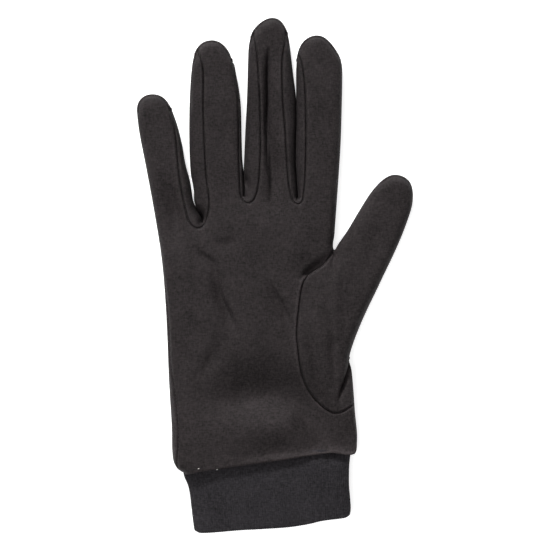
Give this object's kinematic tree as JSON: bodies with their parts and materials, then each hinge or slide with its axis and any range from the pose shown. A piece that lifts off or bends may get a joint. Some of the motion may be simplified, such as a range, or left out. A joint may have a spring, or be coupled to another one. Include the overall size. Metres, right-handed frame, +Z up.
{
  "type": "glove liner",
  "caption": "Thin jersey liner glove for a right hand with separate set-in thumb, finger gussets and a ribbed knit cuff, lying palm up.",
  "frame": {"origin": "middle of the glove's footprint, on the surface that it lies on", "axes": "+X towards the thumb side, +Y from the cuff towards the fingertips, +Z up, out of the palm"},
  "size_m": [0.1308, 0.2432, 0.0144],
  "materials": {
    "jersey": "matt fine silk jersey, black",
    "gusset": "matt fine silk jersey, black",
    "rib": "matt fine rib knit, black"
  },
  "bodies": {
    "root": {"trank_palm": "jersey", "trank_back": "jersey", "trank_back_little": "jersey", "trank_back_ring": "jersey", "trank_back_middle": "jersey", "trank_back_index": "jersey", "thumb": "jersey", "fourchette_little_ring": "gusset", "fourchette_ring_middle": "gusset", "fourchette_middle_index": "gusset", "cuff": "rib"}
  },
  "joints": []
}
